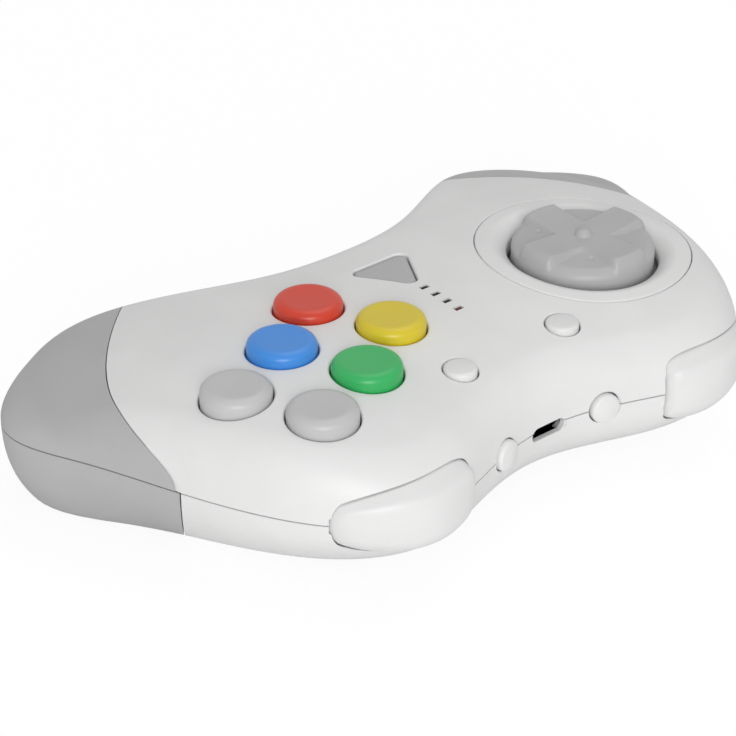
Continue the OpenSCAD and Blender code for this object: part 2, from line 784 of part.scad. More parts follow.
module start_membrane() {
  color("gainsboro")
    difference() {
      union() {
        translate([start_mid.x, start_mid.y, board_top]) cylinder(r = start_dome_r + 2, h = sheet_t);
        dome(start_mid, start_dome_r);
      }
      dome_hollow(start_mid, start_dome_r);
    }
}
module left_small_button() {
  color("whitesmoke") round_key(SMALL[0], small_r, small_proud);
}
module right_small_button() {
  color("whitesmoke") round_key(SMALL[1], small_r, small_proud);
}
module small_membrane() {
  pad_r = small_r + 1.4;
  color("gainsboro")
    difference() {
      union() {
        for (b = SMALL) translate([b.x, b.y, board_top]) cylinder(r = pad_r, h = sheet_t);
        translate([-small_x, small_y - pad_r / 2, board_top]) cube([2 * small_x, pad_r, sheet_t]);
        for (b = SMALL) dome(b, dome_r(small_r));
      }
      for (b = SMALL) dome_hollow(b, dome_r(small_r));
    }
}

// Shoulder edge
module shoulder_button(side) {
  edge = 0.7;
  stem_r = 1.8;
  color("whitesmoke")
    shoulder_place(side)
      rotate_extrude()
        polygon([
          [0, -shoulder_stem_at], [stem_r, -shoulder_stem_at], [stem_r, -shoulder_flange_at - over],
          [shoulder_r + over, -shoulder_flange_at - over], [shoulder_r + over, -shoulder_flange_at],
          [shoulder_r, -shoulder_flange_at], [shoulder_r, shoulder_proud - edge],
          [shoulder_r - edge, shoulder_proud], [0, shoulder_proud + edge / 2]
        ]);
}
module left_shoulder_button() {
  shoulder_button(-1);
}
module right_shoulder_button() {
  shoulder_button(1);
}
// Side-acting switch below the board; its plunger points out of the edge
module side_switch(w, h, face_gap) {
  length = 3.4;
  plunger_r = 0.9;
  plunger_l = 0.5;
  translate([-w / 2, board_lift * -1, -face_gap - plunger_l - length]) cube([w, h, length]);
  translate([0, h / 2 - board_lift, -face_gap - plunger_l]) cylinder(r = plunger_r, h = plunger_l);
}
module shoulder_switches() {
  color("dimgray")
    for (s = [-1, 1])
      shoulder_place(s)
        side_switch(shoulder_switch_w, shoulder_switch_h, shoulder_stem_at + shoulder_travel + rest_gap / 2);
}
module trigger() {
  color("whitesmoke")
    difference() {
      union() {
        trigger_block();
        translate([pin_x, pin_y, base_h - hub_down]) cylinder(r = hub_r, h = hub_up + hub_down);
      }
      translate([pin_x, pin_y, base_h - hub_down - over])
        cylinder(r = pin_r + running, h = hub_up + hub_down + 2 * over);
    }
}
module left_trigger() {
  mirror([1, 0, 0]) trigger();
}
module right_trigger() {
  trigger();
}
module trigger_pins() {
  color("silver")
    both_sides()
      translate([pin_x, pin_y, base_h - pin_down]) cylinder(r = pin_r, h = pin_up + pin_down);
}
module trigger_switches() {
  near = trigger_switch_x - trigger_switch_w / 2;
  end = trigger_switch_x + trigger_switch_w / 2;
  reach = (end - pin_x) * sin(trigger_swing) + rest_gap;
  color("dimgray")
    both_sides()
      translate([trigger_switch_x, min(shoulder_y(near), shoulder_y(end)) - trigger_depth, base_h])
        rotate([-90, 0, 0])
          side_switch(trigger_switch_w, trigger_switch_h, reach);
}

// Electronics
// Shoulder edge of the board: under the socket, behind the round buttons, and out to the triggers' switches
board_edge_gap = 1.15;
socket_tab_w = 6.5;
trigger_tab_w = 8;
module main_board() {
  spot_gap = 0.6;
  front = socket_face_y - board_edge_gap - 0.4;
  back = shoulder_y(shoulder_x) - shoulder_stem_at - board_edge_gap;
  tab_x = trigger_switch_x - trigger_tab_w / 2;
  tab_end = tab_x + trigger_tab_w;
  swing = (tab_end - pin_x) * sin(trigger_swing) + rest_gap;
  tab = min(shoulder_y(tab_x), shoulder_y(tab_end)) - trigger_depth - swing;
  half = concat(
    [[0, front], [socket_tab_w, front], [socket_tab_w, back], [tab_x - over, back], [tab_x, tab],
      [tab_end, tab]],
    fitted(BOARD_SIDE)
  );
  color("seagreen")
    difference() {
      translate([0, 0, board_z])
        linear_extrude(height = board_t)
          polygon(concat(half, [for (i = [len(half) - 2:-1:1]) [-half[i].x, half[i].y]]));
      both_sides() case_spots(SHELL_SPOTS) cylinder(r = case_boss_r + spot_gap, h = far);
      case_spots(BOARD_SPOTS) cylinder(r = screw_r + 2 * screw_fit, h = far);
    }
}
module processor_chip() {
  chip_w = 9;
  chip_t = 1.2;
  color("black") translate([CHIP.x, CHIP.y, board_z - chip_t]) cube([chip_w, chip_w, chip_t]);
}
module usb_socket() {
  tongue = [6.7, 0.7, 4.6];
  back_t = 1.5;
  color("dimgray")
    socket_place() {
      difference() {
        linear_extrude(height = socket_depth) socket_outline(socket_w, socket_h);
        translate([0, 0, -over])
          linear_extrude(height = socket_depth - back_t + over) socket_mouth();
      }
      translate([-tongue.x / 2, -tongue.y / 2, socket_depth - back_t - tongue.z])
        cube([tongue.x, tongue.y, tongue.z + over]);
    }
}
module light_pipe() {
  span = (light_count - 1) * light_pitch + 2 * light_size.y;
  rod_z = board_top + light_h + rest_gap;
  color("black") {
    for (i = [0:light_count - 1])
      translate([-light_size.x / 2, light_at(i).y - light_size.y / 2, rod_z])
        cube([light_size.x, light_size.y, top_z(0, light_at(i).y) - 0.1 - rod_z]);
    translate([-light_size.x, light_y - light_size.y, pipe_bar_z]) cube([2 * light_size.x, span, pipe_bar_t]);
  }
}
module status_lights() {
  color("ivory")
    for (i = [0:light_count - 1])
      translate([-light_size.x / 2, light_at(i).y - light_size.y / 2, board_top])
        cube([light_size.x, light_size.y, light_h]);
}
module battery() {
  color("lightsteelblue")
    translate([-battery_l / 2, battery_y - battery_w / 2, battery_z]) cube([battery_l, battery_w, battery_t]);
}
lead_r = 0.6;
lead_bend = 3;
lead_run = 3;
lead_x = 1.2;
plug_x = 9;
plug_h = 4;
plug_w = 5;
plug_l = 6;
battery_end = battery_y + battery_w / 2;
lead_z = battery_z + battery_t / 2;
plug_y = battery_end + lead_run + lead_bend;
module battery_leads() {
  color("crimson")
    for (s = [-1, 1])
      translate([plug_x + s * lead_x, 0, 0]) {
        translate([0, battery_end, lead_z]) rotate([-90, 0, 0]) cylinder(r = lead_r, h = lead_run);
        translate([0, battery_end + lead_run, lead_z + lead_bend])
          rotate([0, 90, 0])
            rotate_extrude(angle = 90)
              translate([lead_bend, 0]) circle(r = lead_r);
        translate([0, plug_y, lead_z + lead_bend])
          cylinder(r = lead_r, h = board_z - plug_h - lead_z - lead_bend);
      }
}
module battery_plug() {
  color("ivory")
    translate([plug_x - plug_l / 2, plug_y - plug_w / 2, board_z - plug_h]) cube([plug_l, plug_w, plug_h]);
}

// Fasteners
module screw(head_r, head_h, shank_l) {
  slot_w = 0.7;
  difference() {
    union() {
      cylinder(r = head_r, h = head_h);
      translate([0, 0, head_h]) cylinder(r = screw_r, h = shank_l);
    }
    for (a = [0, 90])
      rotate([0, 0, a])
        translate([-head_r, -slot_w / 2, -over]) cube([2 * head_r, slot_w, over + head_h / 2]);
  }
}
module board_screws() {
  color("silver")
    case_spots(BOARD_SPOTS)
      translate([0, 0, board_z - board_head_h])
        screw(board_head_r, board_head_h, board_t + board_bite - rest_gap);
}
module case_screws() {
  color("silver")
    both_sides()
      case_spots(CASE_SPOTS)
        translate([0, 0, case_seat_z - case_head_h])
          screw(case_head_r, case_head_h, base_h - case_seat_z + case_bite);
}

top_shell();
bottom_shell();
right_grip_top();
right_grip_bottom();
left_grip_top();
left_grip_bottom();
dpad_dish();
dpad();
dpad_ball();
dpad_post();
dpad_membrane();
button_red();
button_blue();
button_grey_lower();
button_yellow();
button_green();
button_grey_upper();
face_membrane();
start_button();
start_membrane();
left_small_button();
right_small_button();
small_membrane();
left_shoulder_button();
right_shoulder_button();
shoulder_switches();
left_trigger();
right_trigger();
trigger_pins();
trigger_switches();
main_board();
processor_chip();
usb_socket();
light_pipe();
status_lights();
battery();
battery_leads();
battery_plug();
board_screws();
case_screws();
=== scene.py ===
import math

import bmesh
import bpy
import numpy as np
from mathutils import Matrix, Vector
from mathutils.bvhtree import BVHTree
from mathutils.geometry import barycentric_transform


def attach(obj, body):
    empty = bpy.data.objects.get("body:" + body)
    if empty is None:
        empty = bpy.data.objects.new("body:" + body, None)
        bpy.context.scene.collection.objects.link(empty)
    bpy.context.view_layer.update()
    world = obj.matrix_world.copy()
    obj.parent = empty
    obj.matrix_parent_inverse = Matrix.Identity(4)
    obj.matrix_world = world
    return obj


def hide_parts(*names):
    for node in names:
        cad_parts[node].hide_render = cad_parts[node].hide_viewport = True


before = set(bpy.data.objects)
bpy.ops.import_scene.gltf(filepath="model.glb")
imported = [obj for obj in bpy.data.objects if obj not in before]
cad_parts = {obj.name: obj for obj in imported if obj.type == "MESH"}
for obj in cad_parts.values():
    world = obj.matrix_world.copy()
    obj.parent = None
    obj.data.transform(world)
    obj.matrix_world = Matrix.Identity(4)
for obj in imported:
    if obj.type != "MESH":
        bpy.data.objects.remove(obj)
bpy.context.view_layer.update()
MM = 0.001
scene = bpy.context.scene


# Body surface, in millimetres, by the rules of the part's source
BODY_W, BODY_D, BASE_H, WALL = 157.4, 92.6, 17.0, 2.2
TOP_EDGE, BOTTOM_EDGE, EDGE_POWER = 8.7, 18.0, 2.3
HALF = [(0, 38.2), (10, 39.4), (22, 43.6), (37, 49.2), (54, 39), (65.7, 14.3),
        (72.6, -7.8), (84, -27), (59.5, -45.5), (47, -47.8), (22, -28.4), (0, -27.4)]
RING = np.array(HALF + [(-x, y) for x, y in HALF[-2:0:-1]], float)
# Top face: height in the middle, then how it rises, twists, curls and falls away from there
CROWN_SPAN, CROWN_MID_Y, CROWN_H, CROWN_FLOOR = 30, 2.5, 14.9, WALL + 1.5
CROWN_RISE, CROWN_TWIST, CROWN_CURL, CROWN_FALL, CROWN_DROP = 0.61, 0.34, 0.21, 0.34, 3.4
# Bottom face, in the same terms, with a lean from the shoulder edge to the player's
BOWL_H, BOWL_RISE, BOWL_FALL, BOWL_DROP, BOWL_LEAN, BOWL_TWIST = 17.3, 2.1, 0.44, 0.55, 2.1, 1.16
# Share of the wall by which the inside turns tighter, and the soft turn from the flat floor into the sides
INNER_EDGE_SHARE, FLOOR_BLEND, FLOOR_LIFT = 0.6, 1.2, 0.3


def raw_outline(t):
    t = np.asarray(t, float)
    i = np.floor(t).astype(int)
    u = (t - i)[..., None]
    c = [RING[(i + k) % len(RING)] for k in (-1, 0, 1, 2)]
    return (c[0] * (1 - u) ** 3 + c[1] * (3 * u ** 3 - 6 * u ** 2 + 4)
            + c[2] * (-3 * u ** 3 + 3 * u ** 2 + 3 * u + 1) + c[3] * u ** 3) / 6


LAST = len(HALF) - 1
TRACE = raw_outline(np.linspace(0, LAST, 20 * LAST + 1))
FIT = np.array([BODY_W / (2 * TRACE[:, 0].max()), BODY_D / (TRACE[:, 1].max() - TRACE[:, 1].min())])
TIP_T = TRACE[:, 0].argmax() / 20
SHOULDER = raw_outline(np.linspace(0, TIP_T, 6000)) * FIT
PLAYER = (raw_outline(np.linspace(TIP_T, LAST, 6000)) * FIT)[::-1]
TIP = SHOULDER[-1]


def shoulder_y(x):
    return np.interp(np.abs(x), SHOULDER[:, 0], SHOULDER[:, 1])


def player_y(x):
    return np.interp(np.abs(x), PLAYER[:, 0], PLAYER[:, 1])


def crown(x, y):
    u, v = x / CROWN_SPAN, (y - CROWN_MID_Y) / CROWN_SPAN
    rise = CROWN_RISE + CROWN_TWIST * v + CROWN_CURL * v ** 2
    return np.maximum(CROWN_FLOOR, CROWN_H + rise * u ** 2 - CROWN_FALL * u ** 4 - CROWN_DROP * v ** 2)


def bowl(x, y):
    u, v = x / CROWN_SPAN, y / CROWN_SPAN
    rise = BOWL_H + BOWL_RISE * u ** 2 - BOWL_FALL * u ** 4
    return rise - BOWL_DROP * v ** 2 - BOWL_LEAN * v - BOWL_TWIST * u ** 2 * v


def turn(d, r):
    return (1 - (1 - np.minimum(1, d / r)) ** EDGE_POWER) ** (1 / EDGE_POWER)


def turn_in(f, r):
    """Distance from the edge at which a turn of radius r has risen to the share f"""
    return r * (1 - (1 - f ** EDGE_POWER) ** (1 / EDGE_POWER))


def top_z(x, y):
    return BASE_H + crown(x, y)


SPINE_SHARE, SPINE_Y, SPINE_POWER = 0.62, 2.0, 3
SPINE_DROP = (SPINE_Y - TIP[1]) / (1 + SPINE_POWER * (1 - SPINE_SHARE) / SPINE_SHARE)


def skin(stations, rings, inset, side, lip):
    """Grid of points from the shoulder edge over the spine to the player's edge, for each station along X"""
    x = TIP[0] * np.sin(np.radians(np.linspace(-90, 90, stations + 1)))
    ys, yp = shoulder_y(x), player_y(x)
    ys[[0, -1]] = yp[[0, -1]] = TIP[1]
    mid = np.stack([SPINE_SHARE * x, SPINE_Y - SPINE_DROP * (np.abs(x) / TIP[0]) ** SPINE_POWER], -1)
    k = np.arange(2 * rings + 1)
    w = 1 - np.cos(np.radians(90 * np.minimum(k, 2 * rings - k) / rings))
    shoulder, player = (np.stack([x, y], -1)[:, None] for y in (ys, yp))
    edge = np.where((k <= rings)[None, :, None], shoulder, player)
    way = mid[:, None] - edge
    start = edge + way * inset / np.linalg.norm(way, axis=-1, keepdims=True)
    p = start + (mid[:, None] - start) * w[None, :, None]
    d = w[None] * np.linalg.norm(mid[:, None] - start, axis=-1)
    share = INNER_EDGE_SHARE * inset
    if side > 0:
        z = BASE_H + lip + (crown(p[..., 0], p[..., 1]) - inset - lip) * turn(d, TOP_EDGE - share)
    else:
        z = BASE_H - lip - (bowl(p[..., 0], p[..., 1]) - inset - lip) * turn(d, BOTTOM_EDGE - share)
        blend = np.maximum(FLOOR_BLEND - np.abs(z - inset), 0) / FLOOR_BLEND
        z = np.maximum(z, inset) + blend ** 2 * FLOOR_LIFT
    return np.concatenate([p, z[..., None]], -1)


# Mesh helpers
def link(name, mesh):
    obj = bpy.data.objects.new(name, mesh)
    scene.collection.objects.link(obj)
    return obj


def new_mesh(name, verts, faces):
    mesh = bpy.data.meshes.new(name)
    points = [tuple(float(c) * MM for c in v) for v in verts]
    mesh.from_pydata(points, [], [tuple(int(i) for i in f) for f in faces])
    mesh.validate()
    return mesh


def smooth(mesh, angle=35):
    mesh.polygons.foreach_set("use_smooth", [True] * len(mesh.polygons))
    mesh.set_sharp_from_angle(angle=math.radians(angle))


def loft(rows, caps=True, flip=False):
    """Verts and faces of rows of points, one after the other, each row a loop"""
    n = len(rows[0])
    verts = [p for r in rows for p in r]
    faces = []
    for j in range(len(rows) - 1):
        for i in range(n):
            a, b = j * n + i, j * n + (i + 1) % n
            faces.append((a, b, b + n, a + n))
    if caps:
        faces.append(tuple(range(n))[::-1])
        faces.append(tuple((len(rows) - 1) * n + i for i in range(n)))
    if flip:
        faces = [f[::-1] for f in faces]
    return verts, faces


def join(parts):
    verts, faces = [], []
    for v, f in parts:
        base = len(verts)
        verts += list(v)
        faces += [tuple(i + base for i in g) for g in f]
    return verts, faces


def half_shell(side, stations=132, rings=40, rings_in=12, lip=0.14):
    out = skin(stations, rings, 0, side, lip)
    ins = skin(stations, rings_in, WALL, side, lip)
    verts, index = [], []
    for grid, m in ((out, rings), (ins, rings_in)):
        ids = np.zeros(grid.shape[:2], int)
        for i in range(stations + 1):
            for k in range(2 * m + 1):
                if i in (0, stations) and k > m:
                    ids[i, k] = ids[i, 2 * m - k]
                else:
                    ids[i, k] = len(verts)
                    verts.append(grid[i, k])
        index.append(ids)
    faces, kinds = [], []
    for layer, ids in enumerate(index):
        a, b, c, d = ids[:-1, :-1], ids[1:, :-1], ids[1:, 1:], ids[:-1, 1:]
        quads = np.stack([a, d, c, b], -1).reshape(-1, 4)
        faces += [tuple(q) if layer == 0 else tuple(q[::-1]) for q in quads]
        kinds += [layer] * len(quads)
    o, n = index
    for i in range(stations):
        faces.append((o[i + 1, 0], n[i + 1, 0], n[i, 0], o[i, 0]))
        faces.append((o[i, -1], n[i, -1], n[i + 1, -1], o[i + 1, -1]))
        kinds += [1, 1]
    if side < 0:
        faces = [f[::-1] for f in faces]
    mesh = new_mesh("shell", verts, faces)
    mesh.polygons.foreach_set("material_index", kinds)
    return mesh


# Places, in millimetres
DPAD = np.array([-36.5, 9.5])
DISH_R, DISH_GAP, DPAD_R = 21.6, 0.15, 14.3
BUTTON_R, SMALL_R, CAP_GAP = 6.65, 3.2, 0.3
START, START_R = np.array([(-4.7, -9.7), (4.7, -9.7), (0, -1.6)]), 1.6
SHOULDER_X, SHOULDER_TURN, SHOULDER_R = 12.7, 13.5, 3.0
LIGHT_Y, LIGHT_STEP = 3.2, 3.27
LIGHTS = [(0, LIGHT_Y + LIGHT_STEP * i) for i in range(4)]
CORNERS = ((-1, -1), (1, -1), (1, 1), (-1, 1))
# Seams of a grip end over the top and under the bottom, from the side to the player's edge
TOP_SEAM = [(65.9, 12.2), (70.5, -8.5), (61, -20), (39, -40.9)]
BASE_SEAM = [(65.9, 12.2), (55, -1), (47, -14), (39, -40.9)]
SEAM_GAP = 0.2
CASE_SCREWS = [(s * x, y) for x, y in ((62, -28), (25, -19.5), (44, -14)) for s in (-1, 1)]


# Face buttons: two bowed rows of three about a middle, turned from the X axis
FACE_X, FACE_Y, FACE_TURN = 32, 11.7, math.radians(27.3)
BUTTON_STEP, ROW_GAP, ROW_BOW = 16.3, 17, 1.8
LOWER_ROW, UPPER_ROW = ("red", "blue", "grey_lower"), ("yellow", "green", "grey_upper")


def button_at(row, place):
    c, s = math.cos(FACE_TURN), math.sin(FACE_TURN)
    along, across = place * BUTTON_STEP, row * ROW_GAP / 2 - ROW_BOW * place * place
    return (FACE_X + along * c - across * s, FACE_Y + along * s + across * c)


BUTTONS = {key: button_at(row, place) for row, keys in ((-1, LOWER_ROW), (1, UPPER_ROW))
           for place, key in enumerate(keys, -1)}
SMALL = {"left": (-13.0, 28.0), "right": (13.0, 28.0)}


def circle(cx, cy, r, n=96):
    a = np.linspace(0, 2 * math.pi, n, endpoint=False)
    return np.stack([cx + r * np.cos(a), cy + r * np.sin(a)], -1)


def rounded(points, grow, n=20):
    """Outline of round corners of radius grow about the points, counter-clockwise"""
    out = []
    pts = np.asarray(points, float)
    for i in range(len(pts)):
        a, b, c = pts[i - 1], pts[i], pts[(i + 1) % len(pts)]
        t0 = math.atan2(*(b - a)[::-1]) - math.pi / 2
        t1 = math.atan2(*(c - b)[::-1]) - math.pi / 2
        while t1 < t0:
            t1 += 2 * math.pi
        for t in np.linspace(t0, t1, n):
            out.append(b + grow * np.array([math.cos(t), math.sin(t)]))
    return np.array(out)


# Cutting tools: a hole with a soft lip that follows the surface it opens in
def lip_cutter(ring, low, surface, lip, high=8.0):
    rows = []
    flat = ring(0.0)
    rows.append([(x, y, low) for x, y in flat])
    for a in np.radians((0, 12, 25, 38, 52, 66, 80)):
        pts = ring(lip * (1 - math.cos(a)))
        rows.append([(x, y, surface(x, y) - lip * (1 - math.sin(a))) for x, y in pts])
    rows.append([(x, y, surface(x, y) + high) for x, y in pts])
    return loft(rows)


def turned(part, matrix):
    verts, faces = part
    return [tuple(matrix @ Vector(v)) for v in verts], faces


def box(x0, x1, y0, y1, z0, z1):
    return loft([[(x0, y0, z), (x1, y0, z), (x1, y1, z), (x0, y1, z)] for z in (z0, z1)])


# Trigger profile, shared by the trigger and its window
T_IN, T_OUT, T_UP, T_DOWN, T_BULGE, T_DEPTH, T_GAP = 25.2, 52.0, 7.2, 7.2, 2.2, 6.0, 0.35
# Ends' share of the height, the outer end's rounding, the taper outwards, and the crease's height
T_END, T_ROUND, T_ROUND_END, T_TAPER, T_CREASE = 0.38, 3.2, 0.25, 0.38, 5.1
WINDOW_REACH = 25


def trigger_end(x):
    s = np.clip((x - T_IN) / (T_OUT - T_IN), 0, 1)
    full = T_END + (1 - T_END) * np.maximum(0, 1 - np.abs(2 * s - 1) ** 4) ** 0.25
    left = np.clip((T_OUT - x) / T_ROUND, 0, 1)
    return s, np.minimum(full, T_ROUND_END + (1 - T_ROUND_END) * np.sqrt(1 - (1 - left) ** 2))


def trigger_height(x, full):
    s, e = trigger_end(x)
    return full * (1 - T_TAPER * s ** 3) * e


def trigger_xs(n):
    return T_IN + (T_OUT - T_IN) * (1 - np.cos(np.linspace(0, math.pi, n))) / 2


def trigger_window(side):
    xs = trigger_xs(61)
    up, down = trigger_height(xs, T_UP) + T_GAP, trigger_height(xs, T_DOWN) + T_GAP
    px = xs.copy()
    px[0] -= T_GAP
    px[-1] += T_GAP
    loop = [*zip(px, BASE_H + up), *zip(px[::-1], (BASE_H - down)[::-1])]
    y0 = float(shoulder_y(T_OUT)) - T_DEPTH + 1
    return loft([[(side * x, y, z) for x, z in loop] for y in (y0, y0 + WINDOW_REACH)], flip=side < 0)


# Turns a piece made upright so that its top faces the shoulder edge
FACE_OUT = Matrix.Rotation(math.radians(-90), 4, "X")


def shoulder_matrix(side):
    place = Vector((side * SHOULDER_X, float(shoulder_y(SHOULDER_X)), BASE_H))
    spin = Matrix.Rotation(math.radians(side * SHOULDER_TURN), 4, "Z") @ FACE_OUT
    return Matrix.Translation(place) @ spin


SOCKET_Y, SOCKET_Z = float(shoulder_y(0)), 16.27
MOUTH_W, MOUTH_H = 8.34, 2.66
SOCKET_MATRIX = Matrix.Translation((0, SOCKET_Y, SOCKET_Z)) @ FACE_OUT
# Soft lips of the openings, how low the face's openings start, and how far the edge's openings reach
BUTTON_LIP, SMALL_LIP, START_LIP, DISH_LIP, SHOULDER_LIP, SOCKET_LIP = 0.45, 0.3, 0.4, 0.35, 0.35, 0.25
FACE_LOW, SHOULDER_LOW, SOCKET_LOW, EDGE_HIGH = 24, -6, -5, 6


def stadium(w, h, n=24):
    r = h / 2
    return rounded([(-(w / 2 - r), 0), (w / 2 - r, 0)], r, n)


def flat(x, y):
    return 0.0


def edge_cutters():
    parts = [trigger_window(s) for s in (-1, 1)]
    for s in (-1, 1):
        shape = lambda g: circle(0, 0, SHOULDER_R + CAP_GAP + g)
        hole = lip_cutter(shape, SHOULDER_LOW, flat, SHOULDER_LIP, EDGE_HIGH)
        parts.append(turned(hole, shoulder_matrix(s)))
    shape = lambda g: stadium(MOUTH_W + 2 * g, MOUTH_H + 2 * g)
    parts.append(turned(lip_cutter(shape, SOCKET_LOW, flat, SOCKET_LIP, EDGE_HIGH), SOCKET_MATRIX))
    return parts


# Half width and half depth of a light's slot
SLOT_X, SLOT_Y = 1.0, 0.6


def face_cutters():
    parts = []
    for x, y in BUTTONS.values():
        parts.append(lip_cutter(lambda g: circle(x, y, BUTTON_R + CAP_GAP + g), FACE_LOW, top_z, BUTTON_LIP))
    for x, y in SMALL.values():
        shape = lambda g: circle(x, y, SMALL_R + CAP_GAP + g, 64)
        parts.append(lip_cutter(shape, FACE_LOW, top_z, SMALL_LIP))
    parts.append(lip_cutter(lambda g: rounded(START, START_R + CAP_GAP + g), FACE_LOW, top_z, START_LIP))
    parts.append(lip_cutter(lambda g: circle(*DPAD, DISH_R + DISH_GAP + g, 192), FACE_LOW, top_z, DISH_LIP))
    for x, y in LIGHTS:
        z = float(top_z(x, y))
        parts.append(box(x - SLOT_X, x + SLOT_X, y - SLOT_Y, y + SLOT_Y, z - 5, z + 5))
    return parts


# Radius and height along a screw's counterbore, from below
SCREW_BORE = ((2.9, -3), (2.9, 0.0), (2.5, 0.4), (2.5, 6))


def screw_cutters():
    parts = []
    for x, y in CASE_SCREWS:
        parts.append(loft([[(px, py, z) for px, py in circle(x, y, r, 48)] for r, z in SCREW_BORE]))
    return parts


# Far corner and heights of the space beyond a seam
ZONE_X, ZONE_Y, ZONE_LOW, ZONE_HIGH = 150, -130, -20, 60


def grip_zone(side, seam, gap):
    """Everything on the grip's side of a seam, set back by gap"""
    p = np.array(seam, float)
    t = np.linspace(0, 1, 81)[1:, None]
    line = p[0] * (1 - t) ** 3 + 3 * p[1] * t * (1 - t) ** 2 + 3 * p[2] * t * t * (1 - t) + p[3] * t ** 3
    way = (p[1] - p[0]) * (1 - t) ** 2 + 2 * (p[2] - p[1]) * t * (1 - t) + (p[3] - p[2]) * t * t
    normal = np.stack([-way[:, 1], way[:, 0]], -1) / np.linalg.norm(way, axis=1, keepdims=True)
    start = p[0] + (gap, -gap)
    loop = [start, *(line + gap * normal), 2 * p[3] - p[2], (ZONE_X, ZONE_Y), (ZONE_X, start[1])]
    return loft([[(side * q[0], q[1], z) for q in loop] for z in (ZONE_LOW, ZONE_HIGH)], flip=side < 0)


# Marks that tell outer skin, inner skin and cut faces apart while the pieces are carved
OUTER, INNER, CUT = range(3)
MARKS = [bpy.data.materials.new("mark%d" % i) for i in (OUTER, INNER, CUT)]


def tool(parts):
    mesh = new_mesh("tool", *join(parts))
    mesh.polygons.foreach_set("material_index", [CUT] * len(mesh.polygons))
    return mesh


def carve(base, steps):
    """Boolean steps on a copy of the base mesh; returns the finished mesh"""
    work = link("work", base.copy())
    used = [work]
    for mat in MARKS:
        work.data.materials.append(mat)
    for op, mesh in steps:
        t = link("step", mesh)
        for mat in MARKS:
            t.data.materials.append(mat)
        used.append(t)
        mod = work.modifiers.new(op, "BOOLEAN")
        mod.operation, mod.object, mod.solver = op, t, "EXACT"
    bpy.context.view_layer.update()
    done = bpy.data.meshes.new_from_object(work.evaluated_get(bpy.context.evaluated_depsgraph_get()))
    for o in used:
        bpy.data.objects.remove(o)
    return done


def skin_normals(mesh, base):
    """Gives the outer skin the normals of the uncut surface, so that no hole dents its shading"""
    base.polygons.foreach_set("use_smooth", [True] * len(base.polygons))
    co = [v.co.copy() for v in base.vertices]
    acc = [Vector() for _ in co]
    tris = []
    for p in base.polygons:
        if p.material_index == OUTER:
            for i in p.vertices:
                acc[i] += p.normal * p.area
            vs = p.vertices
            tris += [(vs[0], vs[i], vs[i + 1]) for i in range(1, len(vs) - 1)]
    nor = [n.normalized() if n.length else Vector((0, 0, 1)) for n in acc]
    tree = BVHTree.FromPolygons(co, tris)
    smooth(mesh)
    normals = [Vector(c.vector) for c in mesh.corner_normals]
    seen = {}
    for p in mesh.polygons:
        if p.material_index != OUTER:
            continue
        for li in p.loop_indices:
            vi = mesh.loops[li].vertex_index
            if vi not in seen:
                v = mesh.vertices[vi].co
                hit, _, ti, _ = tree.find_nearest(v)
                a, b, c = tris[ti]
                normal = barycentric_transform(hit, co[a], co[b], co[c], nor[a], nor[b], nor[c])
                seen[vi] = normal.normalized()
            normals[li] = seen[vi]
    mesh.normals_split_custom_set(normals)


def finish_mesh(mesh, material):
    mesh.polygons.foreach_set("material_index", [0] * len(mesh.polygons))
    mesh.materials.clear()
    mesh.materials.append(material)


# Materials
MOTTLE_SCALE, GRAIN_SCALE, GLOSS_SPREAD, BUMP_STRENGTH = 60, 4000, 0.06, 0.25


def material(name, color, rough, metal=0.0, grain=0.02, mottle=0.03, spec=0.5):
    """Moulded or metal surface: faint mottling, varied gloss and a fine grain of a height in millimetres"""
    mat = bpy.data.materials.new(name)
    mat.use_nodes = True
    nt = mat.node_tree
    bsdf = nt.nodes["Principled BSDF"]
    coord = nt.nodes.new("ShaderNodeTexCoord")
    broad = nt.nodes.new("ShaderNodeTexNoise")
    broad.inputs["Scale"].default_value = MOTTLE_SCALE
    broad.inputs["Detail"].default_value = 4
    nt.links.new(coord.outputs["Object"], broad.inputs["Vector"])
    ramp = nt.nodes.new("ShaderNodeValToRGB")
    ramp.color_ramp.elements[0].position = 0.3
    ramp.color_ramp.elements[1].position = 0.7
    ramp.color_ramp.elements[0].color = [c * (1 - mottle) for c in color] + [1]
    ramp.color_ramp.elements[1].color = [min(1, c * (1 + mottle)) for c in color] + [1]
    nt.links.new(broad.outputs["Fac"], ramp.inputs["Fac"])
    nt.links.new(ramp.outputs["Color"], bsdf.inputs["Base Color"])
    fine = nt.nodes.new("ShaderNodeTexNoise")
    fine.inputs["Scale"].default_value = GRAIN_SCALE
    fine.inputs["Detail"].default_value = 2
    nt.links.new(coord.outputs["Object"], fine.inputs["Vector"])
    gloss = nt.nodes.new("ShaderNodeMapRange")
    gloss.inputs["To Min"].default_value = rough - GLOSS_SPREAD
    gloss.inputs["To Max"].default_value = rough + GLOSS_SPREAD
    nt.links.new(fine.outputs["Fac"], gloss.inputs["Value"])
    nt.links.new(gloss.outputs["Result"], bsdf.inputs["Roughness"])
    bump = nt.nodes.new("ShaderNodeBump")
    bump.inputs["Strength"].default_value = BUMP_STRENGTH
    bump.inputs["Distance"].default_value = grain * MM
    nt.links.new(fine.outputs["Fac"], bump.inputs["Height"])
    nt.links.new(bump.outputs["Normal"], bsdf.inputs["Normal"])
    bsdf.inputs["Metallic"].default_value = metal
    bsdf.inputs["Specular IOR Level"].default_value = spec
    return mat


